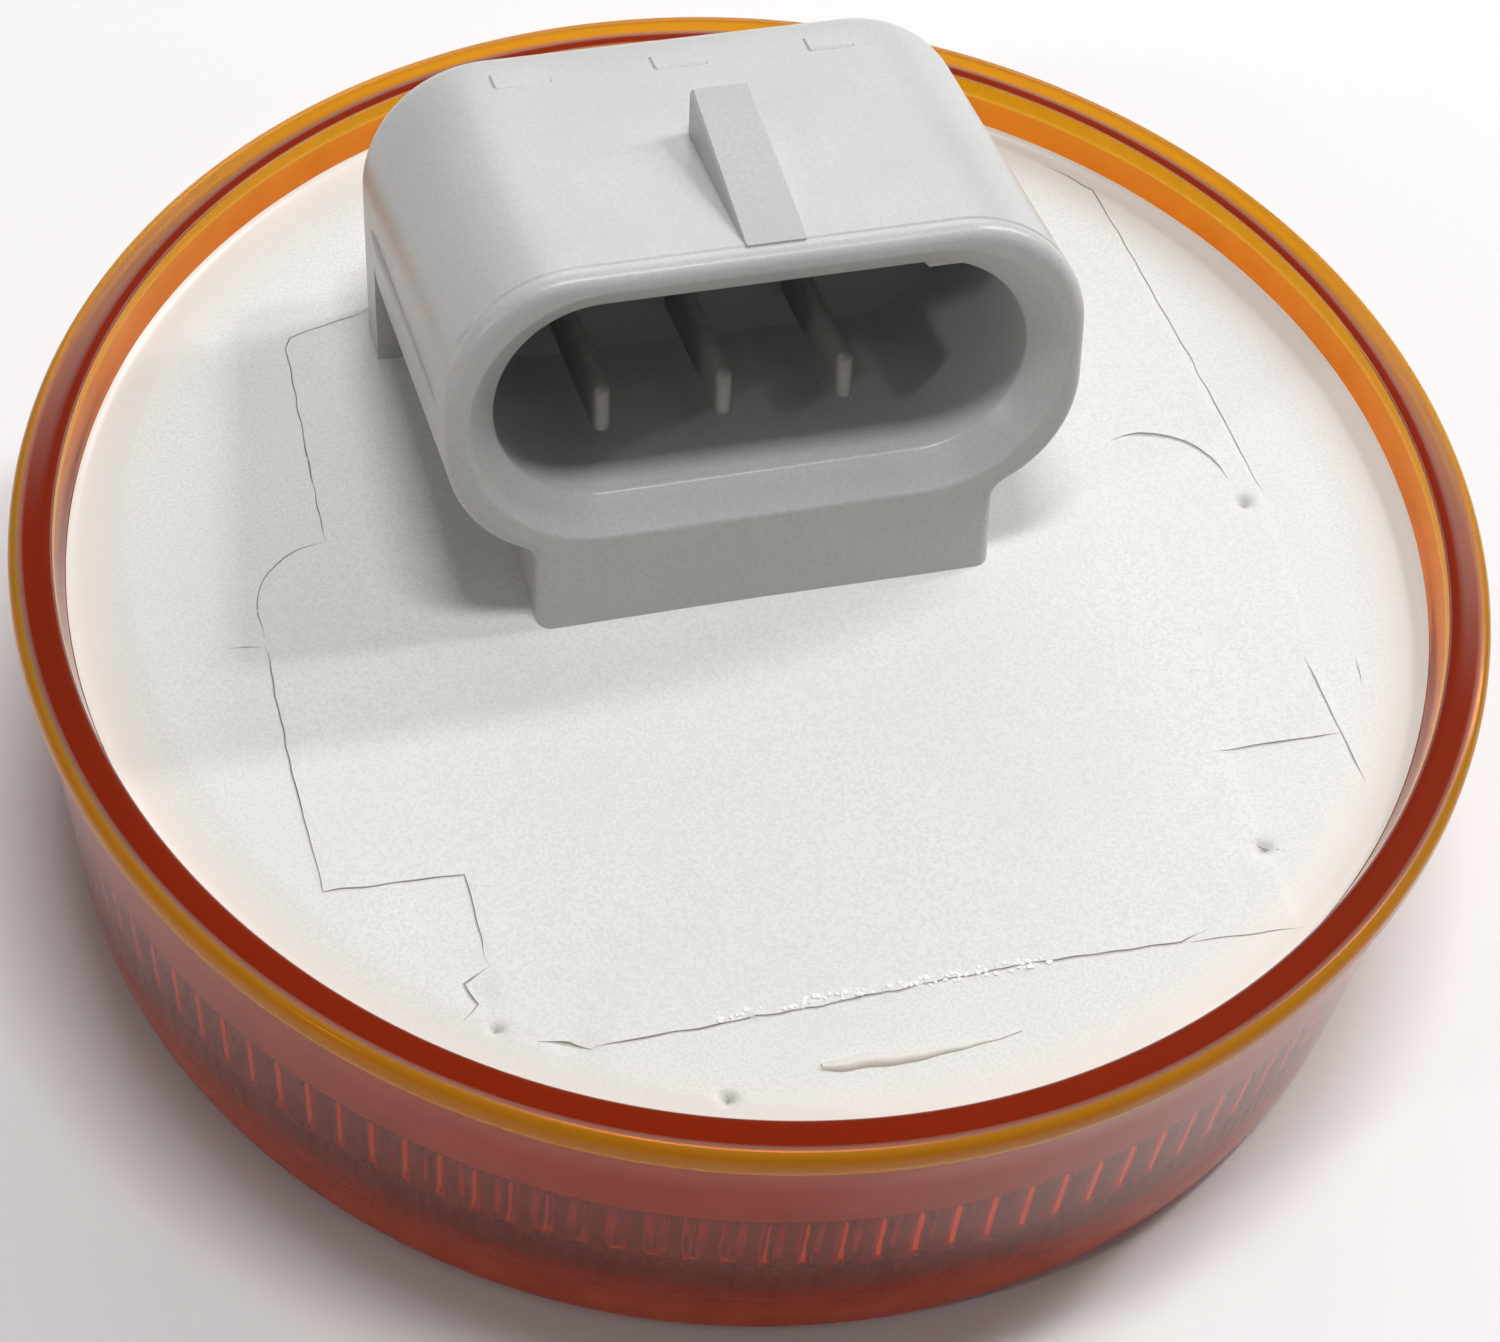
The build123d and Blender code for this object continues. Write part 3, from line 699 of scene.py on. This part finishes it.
hairlines = (
    # corners, width, lift
    ([(-13.6, 17.2), (-17.3, 16.2), (-17.6, 15.6), (-18.0, 4.3)], 0.13, 0.02),
    ([(-17.6, 4.25)] + bend((-18.1, 0.8), 3.4, 90, 180) + [(-21.5, -0.6)], 0.10, 0.02),
    ([(-23.0, -0.8), (-21.7, -0.95)], 0.14, 0.03),
    ([(-21.5, -0.9), (-21.65, -7.0), (-21.5, -13.75), (-15.75, -14.0), (-15.8, -18.2), (-15.7, -18.6)],
     0.14, 0.025),
    ([(-15.8, -18.6), (-16.9, -19.2), (-16.6, -20.2), (-17.3, -20.9)], 0.20, 0.05),
    ([(-14.6, -22.4), (-13.4, -22.7), (-12.6, -23.15)], 0.26, 0.07),
    ([(-12.6, -23.1), (-4.0, -23.0), (5.0, -22.7), (12.1, -22.9), (13.4, -22.5)], 0.14, 0.03),
    ([(12.1, -22.95), (17.3, -23.2)], 0.10, 0.02),
    ([(19.6, 20.9), (21.4, 18.9), (21.75, 16.0), (22.6, 8.0), (23.3, -0.6)], 0.12, 0.02),
    (bend((18.4, 0.2), 3.6, 105, 5), 0.20, 0.05),
    ([(22.0, -9.8), (22.2, -14.0), (22.4, -16.6)], 0.14, 0.03),
    ([(16.5, -13.9), (22.2, -14.0)], 0.14, 0.03),
    ([(16.2, -18.5), (17.0, -18.9), (17.8, -19.4)], 0.20, 0.05),
    ([(24.3, -10.0), (24.0, -11.6)], 0.12, 0.03),
)
strips, grooves = [], []
for number, (corners, width, lift) in enumerate(hairlines):
    strip, groove = hairStrip(corners, width, lift, hairSpec["seed"] + 3 * number)
    strips.append(strip)
    grooves.append(groove)
cracks = addMesh("pottingHairlines", *joined(strips), crease=60)
setMarks(cracks, "groove", np.concatenate(grooves))
dress(cracks, hairline, "white_potting")


sliverSpec = {"start": -3.9, "length": 8.3, "y": -25.75, "bow": 0.25, "wander": 0.05, "size": 0.26,
              "leastSize": 0.05, "flat": 0.9, "lift": 0.02, "rings": 60, "sides": 10}


def makeSliver(spec):
    # a curl of flash: a round bead of radius size * sin(pi * sqrt(1.15 t)) + least, bowed by bow * sin(pi t)
    share = np.linspace(0, 1, spec["rings"])
    x = spec["start"] + spec["length"] * share
    y = spec["y"] - spec["bow"] * np.sin(math.pi * share) + spec["wander"] * waves(x, x * 0, 2.0, 9)
    size = spec["size"] * np.sin(math.pi * np.clip(share * 1.15, 0.02, 1) ** 0.5) + spec["leastSize"]
    turn = 2 * math.pi * np.arange(spec["sides"]) / spec["sides"]
    side = y[:, None] + size[:, None] * np.cos(turn)
    across = np.broadcast_to(x[:, None], side.shape)
    height = pottingHeight(across, side) + spec["lift"] + size[:, None] * spec["flat"] * np.sin(turn)
    rows = np.stack([across, side, height], -1)
    return skin(rows, rows[0].mean(0), rows[-1].mean(0))


# low and high of each chip: x, distance from the line, size, flatness
crumbSpec = {"count": 90, "seed": 21, "line": -22.68, "sides": 6, "low": (-7.5, -0.22, 0.05, 0.35),
             "high": (6.5, 0.22, 0.14, 0.8), "uneven": (0.6, 1.2)}


def makeCrumbs(spec):
    # small chips: a six-sided lump with uneven corners, strewn along the front line
    draw = np.random.default_rng(spec["seed"])
    sides = spec["sides"]
    turn = 2 * math.pi * np.arange(sides) / sides
    parts = []
    for x, off, size, flat in draw.uniform(spec["low"], spec["high"], (spec["count"], 4)):
        y = off + spec["line"]
        base = float(pottingHeight(np.array([x]), np.array([y]))[0])
        reach = size * draw.uniform(*spec["uneven"], (2, sides))
        height = base + size * flat * np.array([[-0.3], [0.5]]) * np.ones(sides)
        rows = np.stack([x + reach * np.cos(turn), y + reach * np.sin(turn), height], -1)
        parts.append(skin(rows, (x, y, base - size * 0.5), (x, y, base + size * flat * 0.8)))
    return joined(parts)


sliver = addMesh("pottingSliver", *makeSliver(sliverSpec), crease=60)
setMarks(sliver, "rim", np.full(len(sliver.data.vertices), 0.4))
dress(sliver, epoxy, "white_potting")
# the chips are whiter than the cast epoxy: a painted glint, besides the real gloss of their low roughness
chipGlintFinish = plainFinish("epoxyChipsPaintedGlint", (0.93, 0.93, 0.91), 0.25, 0.3, 0.05)
crumbs = addMesh("pottingCrumbs", *makeCrumbs(crumbSpec), crease=30)
dress(crumbs, chipGlintFinish, "white_potting")
print("hairlines and crumbs")


socketSpec = {"tilt": 14.3, "mouth": (0, 0.325, 24.952), "halfWidth": 13.7, "halfHeight": 6.825,
              "corner": 5.6, "length": 19.3, "backRound": 1.5, "backFlat": 1.0, "edgeRound": 0.62,
              "flareRound": 0.3, "flareStart": 0.41, "flareRim": 0.13, "flareEnd": 0.12, "mouthHalf": 11.5,
              "mouthHigh": 4.65, "mouthDepth": 12.0, "flare": 1.4, "grooveFrom": 0.78, "grooveTo": 1.02,
              "grooveCut": 0.07, "grooveRise": (3.0, 4.5), "pedestalHalf": 10.05, "fillet": 1.0,
              "footReach": 14.0, "heel": 3.4, "backPole": -6.0}


def fromSocket(points, spec=socketSpec):
    # world = mouth + across * X + up * (0, sin t, cos t) + depth * (0, cos t, -sin t)
    tilt = math.radians(spec["tilt"])
    across, up, depth = points[..., 0], points[..., 1], points[..., 2]
    mouth = spec["mouth"]
    return np.stack([mouth[0] + across, mouth[1] + up * math.sin(tilt) + depth * math.cos(tilt),
                     mouth[2] + up * math.cos(tilt) - depth * math.sin(tilt)], -1)


def mirrored(right):
    # the right half, from top middle to bottom middle, then the left half back up
    left = right[-2:0:-1] * (-1, 1)
    return np.concatenate([right, left])


def socketOutlines(spec):
    # ring with pedestal, ring with heel, and the mouth, each with the same number of points on each stretch
    counts = (14, 22, 5, 14, 7, 10, 12)
    wide, high, corner = spec["halfWidth"], spec["halfHeight"], spec["corner"]
    cornerX, cornerY = wide - corner, high - corner
    filletX = spec["pedestalHalf"] + spec["fillet"]
    drop = math.sqrt((corner + spec["fillet"]) ** 2 - (filletX - cornerX) ** 2)
    filletY = -cornerY - drop
    tangent = math.degrees(math.atan2(-drop, filletX - cornerX))
    foot = -high - spec["footReach"]
    ring = np.concatenate([
        line((0, high), (cornerX, high), counts[0])[:-1],
        arc((cornerX, cornerY), corner, 90, 0, counts[1])[:-1],
        line((wide, cornerY), (wide, -cornerY), counts[2])[:-1],
        arc((cornerX, -cornerY), corner, 0, tangent, counts[3])[:-1],
        arc((filletX, filletY), spec["fillet"], 180 + tangent, 180, counts[4])[:-1],
        line((spec["pedestalHalf"], filletY), (spec["pedestalHalf"], foot), counts[5])[:-1],
        line((spec["pedestalHalf"], foot), (0, foot), counts[6]),
    ])
    sideStart = counts[0] + counts[1] + counts[2] - 3
    bottomStart = sum(counts[:6]) - 6
    heel = ring.copy()
    heel[sideStart:bottomStart, 0] = wide
    heel[bottomStart:] = line((wide, foot), (0, foot), counts[6])
    endX = spec["mouthHalf"] - spec["mouthHigh"]
    stops = (90, 15, -15, -60, -70, -90)  # degrees round the mouth's end, a stretch for each of the ring's
    mouth = [line((0, spec["mouthHigh"]), (endX, spec["mouthHigh"]), counts[0])[:-1]]
    for first, second, count in zip(stops[:-1], stops[1:], counts[1:6]):
        mouth.append(arc((endX, 0), spec["mouthHigh"], first, second, count)[:-1])
    mouth.append(line((endX, -spec["mouthHigh"]), (0, -spec["mouthHigh"]), counts[6]))
    return mirrored(ring), mirrored(heel), mirrored(np.concatenate(mouth))


def inset(outline, amount):
    # each point moved inwards by amount, along the mean of its two edges turned a quarter
    ahead = np.roll(outline, -1, 0) - outline
    behind = outline - np.roll(outline, 1, 0)
    ahead /= np.linalg.norm(ahead, axis=1)[:, None]
    behind /= np.linalg.norm(behind, axis=1)[:, None]
    along = ahead + behind
    along /= np.linalg.norm(along, axis=1)[:, None]
    normal = np.stack([along[:, 1], -along[:, 0]], -1)
    return outline + normal * np.broadcast_to(amount, len(outline))[:, None]


def makeSocket(spec):
    # one skin: back face, back round, heel, ring and pedestal, groove, edge round, front face, flare, cavity
    ring, heel, mouth = socketOutlines(spec)
    rows = []

    def station(outline, depth):
        rows.append(np.column_stack([outline, np.full(len(outline), depth)]))

    back, length, edge, flare = spec["backRound"], spec["length"], spec["edgeRound"], spec["flare"]
    station(inset(heel, back + spec["backFlat"]), length)
    for a in np.radians(np.linspace(90, 0, 8)):
        station(inset(heel, back * (1 - math.cos(a))), length - back * (1 - math.sin(a)))
    heelFront = length - spec["heel"]
    station(heel, heelFront + 0.01)
    station(ring, heelFront)
    for depth in np.linspace(heelFront - 0.3, spec["grooveTo"] + 0.4, 9):
        station(ring, depth)
    over = blendStep(*spec["grooveRise"], ring[:, 1])
    cut = inset(ring, spec["grooveCut"] * over)
    for outline, depth in ((ring, spec["grooveTo"] + 0.08), (cut, spec["grooveTo"]),
                           (cut, spec["grooveFrom"]), (ring, spec["grooveFrom"] - 0.06)):
        station(outline, depth)
    for a in np.radians(np.linspace(0, 90, 6)):
        station(inset(ring, edge * (1 - math.cos(a))), edge * (1 - math.sin(a)))
    station(inset(ring, edge + 0.02), 0)
    soft = spec["flareRound"]
    station(inset(mouth, -flare - spec["flareRim"]), 0)
    for a in np.radians(np.linspace(0, 45, 5)):
        station(inset(mouth, soft * (math.sin(a) - spec["flareStart"]) - flare), soft * (1 - math.cos(a)))
    for a in np.radians(np.linspace(45, 90, 5)):
        station(inset(mouth, -soft * (1 - math.sin(a))), flare + spec["flareEnd"] - soft * math.cos(a))
    for depth in np.linspace(flare + 0.6, spec["mouthDepth"] - 0.3, 7):
        station(mouth, depth)
    station(inset(mouth, 0.1), spec["mouthDepth"] - 0.1)
    station(inset(mouth, 0.35), spec["mouthDepth"])
    skinRows = fromSocket(np.array(rows))
    startPole = fromSocket(np.array([0, spec["backPole"], length]))
    endPole = fromSocket(np.array([0, 0, spec["mouthDepth"]]))
    return skin(skinRows, startPole, endPole)


def localBlock(across, up, depth, bevel):
    # a block in the socket's directions with bevelled edges: rings of an octagon-cornered rectangle
    (x0, x1), (u0, u1), (d0, d1) = across, up, depth

    def ringAt(shrink, where):
        a0, a1, b0, b1, c = x0 + shrink, x1 - shrink, u0 + shrink, u1 - shrink, bevel
        corners = [(a0 + c, b0), (a1 - c, b0), (a1, b0 + c), (a1, b1 - c), (a1 - c, b1), (a0 + c, b1),
                   (a0, b1 - c), (a0, b0 + c)]
        return [(x, u, where) for x, u in corners]

    end = bevel * 0.7
    rows = np.array([ringAt(end, d0), ringAt(0, d0 + bevel), ringAt(0, d1 - bevel), ringAt(end, d1)])
    middle = ((x0 + x1) / 2, (u0 + u1) / 2)
    return skin(fromSocket(rows), fromSocket(np.array([*middle, d0])), fromSocket(np.array([*middle, d1])))


rampSpec = {"start": 0.95, "end": 10.2, "height": 2.2, "half": 1.3, "offset": 0.3, "edge": 0.14, "sink": 0.2,
            "spread": 0.05, "endInset": 0.06}


def makeRamp(spec, roof):
    # a latch wedge: its section from the roof to a bevelled top, low at the mouth and tall at its back
    start, end, offset = spec["start"], spec["end"], spec["offset"]
    rows = []
    for depth, share in ((start, 0.02), (start + 0.15, 0.035), (end - 0.12, 0.985), (end, 0.955)):
        rise = spec["height"] * share
        top, b = roof + rise, min(spec["edge"], rise * 0.5)
        w = spec["half"] - (spec["endInset"] if depth in (start, end) else 0.0)
        foot = w + spec["spread"]
        section = [(-foot, roof - spec["sink"]), (foot, roof - spec["sink"]), (w, top - b), (w - b, top),
                   (b - w, top), (-w, top - b)]
        rows.append([(offset + x, u, depth) for x, u in section])
    rows = np.array(rows)
    return skin(fromSocket(rows), fromSocket(rows[0].mean(0)), fromSocket(rows[-1].mean(0)))


seamSpec = {"start": 2.4, "end": 16.3, "size": 0.17, "tall": 1.05, "up": 0.25, "rings": 40, "sides": 8}


def makeSeam(side, spec, halfWidth):
    # a thread of flash along the socket's side: its radius is size * 12 t, held between a tenth of size and
    # size, with t the share of its length from the nearer end
    share = np.linspace(0, 1, spec["rings"])
    size = spec["size"] * np.clip(np.minimum(share, 1 - share) * 12, 0.1, 1)
    turn = 2 * math.pi * np.arange(spec["sides"]) / spec["sides"]
    across = side * halfWidth + size[:, None] * np.cos(turn)
    up = spec["up"] + spec["tall"] * size[:, None] * np.sin(turn)
    depth = np.linspace(spec["start"], spec["end"], spec["rings"])
    rows = np.stack([across, up, np.broadcast_to(depth[:, None], up.shape)], -1)
    return skin(fromSocket(rows), fromSocket(rows[0].mean(0)), fromSocket(rows[-1].mean(0)))


keySpec = {"across": (7.0, 8.8), "up": (4.05, 4.85), "depth": (1.7, 12.2), "bevel": 0.22}
markSpec = {"places": ((-6.9, 1.35), (0.1, 1.25), (6.9, 1.1)), "depth": (15.7, 16.9), "rise": 0.09,
            "sink": 0.2, "bevel": 0.12}


def makeRoofMarks(spec, roof):
    # plain bars raised on the roof, each at its place along the socket with its half width
    up = (roof - spec["sink"], roof + spec["rise"])
    return [localBlock((place - half, place + half), up, spec["depth"], spec["bevel"])
            for place, half in spec["places"]]


socketParts = [makeSocket(socketSpec), makeRamp(rampSpec, socketSpec["halfHeight"]), localBlock(**keySpec)]
for side in (-1, 1):
    socketParts.append(makeSeam(side, seamSpec, socketSpec["halfWidth"]))
socketParts += makeRoofMarks(markSpec, socketSpec["halfHeight"])
socket = addMesh("socketHousing", *joined(socketParts), crease=32)
dress(socket, grey, "grey_plastic", "socket_housing")
print("socket", len(socket.data.polygons))


bladeSpec = {"offset": -1.15, "pitch": 5.3, "thickness": 0.8, "height": 2.4, "drop": 1.85, "tip": 3.2,
             "end": 12.5, "edge": 0.37}
# under the socket: a strip from the blade to the board, and its narrow tail: low, high, width
legSpec = {"y": 15.2, "strips": ((11.8, 21.5, 2.4), (9.5, 11.9, 1.3))}


def makeBlade(across, spec):
    # rounded bar: a stadium-cornered section (across, up), smaller at the tip by a quarter-round
    half, tall, edge = spec["thickness"] / 2, spec["height"] / 2, spec["edge"]
    x, u = half - edge, tall - edge
    middles = ((x, u), (-x, u), (-x, -u), (x, -u))
    section = np.concatenate([arc(middle, edge, 90 * k, 90 * k + 90, 5) for k, middle in enumerate(middles)])
    rows = []
    for a in np.radians(np.linspace(0, 90, 6)):
        shrink = edge * (1 - math.sin(a))
        scale = np.array([(half - shrink) / half, (tall - shrink) / tall])
        depth = spec["tip"] + edge * (1 - math.cos(a))
        rows.append(np.column_stack([section * scale, np.full(len(section), depth)]))
    rows.append(np.column_stack([section, np.full(len(section), spec["end"])]))
    rows = np.array(rows) + (across, -spec["drop"], 0)
    return skin(fromSocket(rows), fromSocket(rows[0].mean(0)), fromSocket(rows[-1].mean(0)))


def makeLeg(across, half, spec):
    # square-cornered strips: rings low and high, half to each side along X
    parts = []
    for low, high, width in spec["strips"]:
        y0, y1 = spec["y"] - width / 2, spec["y"] + width / 2
        ring = [(across - half, y0), (across + half, y0), (across + half, y1), (across - half, y1)]
        rows = np.array([[(x, y, z) for x, y in ring] for z in (low, high)])
        parts.append(skin(rows, rows[0].mean(0), rows[1].mean(0)))
    return parts


for step, name in ((-1, "ground"), (0, "marker"), (1, "turn")):
    across = bladeSpec["offset"] + step * bladeSpec["pitch"]
    parts = [makeBlade(across, bladeSpec)] + makeLeg(across, bladeSpec["thickness"] / 2, legSpec)
    blade = addMesh(name + "Blade", *joined(parts), crease=35)
    dress(blade, tin, "tinned_brass", "terminal_" + name)
print("terminals")


solder = metalFinish("solderFillet", (0.72, 0.72, 0.73), 0.25, 0.8)
copperTin = metalFinish("padTin", (0.76, 0.74, 0.70), 0.35, 0.7)
whitePackage = plainFinish("ledPackage", (0.80, 0.80, 0.78), 0.45, 0.6, 0.05)
ledWindow = plainFinish("ledWindow", (0.85, 0.62, 0.18), 0.2, 0.5, 0.10)
blackPackage = plainFinish("blackEpoxy", (0.03, 0.03, 0.032), 0.55, 0.4, 0.25)
tanCeramic = plainFinish("tanCeramic", (0.42, 0.30, 0.20), 0.5, 0.4)
darkCeramic = plainFinish("darkCeramic", (0.06, 0.06, 0.075), 0.4, 0.5, 0.2)
board = boardFinish()
insideFinishes = {
    "circuit_board": board, "solder_joints": solder, "board_pads": copperTin, "regulator_leads": copperTin,
    "led_windows": ledWindow,
}
startsWith = (("led_", whitePackage), ("resistor_", darkCeramic), ("capacitor_", tanCeramic),
              ("blocking_", blackPackage), ("current_", blackPackage), ("surge_", blackPackage))
for nodeName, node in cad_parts.items():
    finish = insideFinishes.get(nodeName)
    for start, material in startsWith:
        if finish is None and nodeName.startswith(start):
            finish = material
    if finish is not None:
        for slotNumber in range(len(node.material_slots)):
            node.material_slots[slotNumber].material = finish
print("inside parts")


floorSpec = {"half": 1.5, "drop": 0.0001}  # metres
floorMesh = bpy.data.meshes.new("floor")
floorCorners = [(x * floorSpec["half"], y * floorSpec["half"], -floorSpec["drop"])
                for x, y in ((-1, -1), (1, -1), (1, 1), (-1, 1))]
floorMesh.from_pydata(floorCorners, [], [(0, 1, 2, 3)])
floor = bpy.data.objects.new("floor", floorMesh)
bpy.context.scene.collection.objects.link(floor)
floor.data.materials.append(floorFinish())
print("floor")
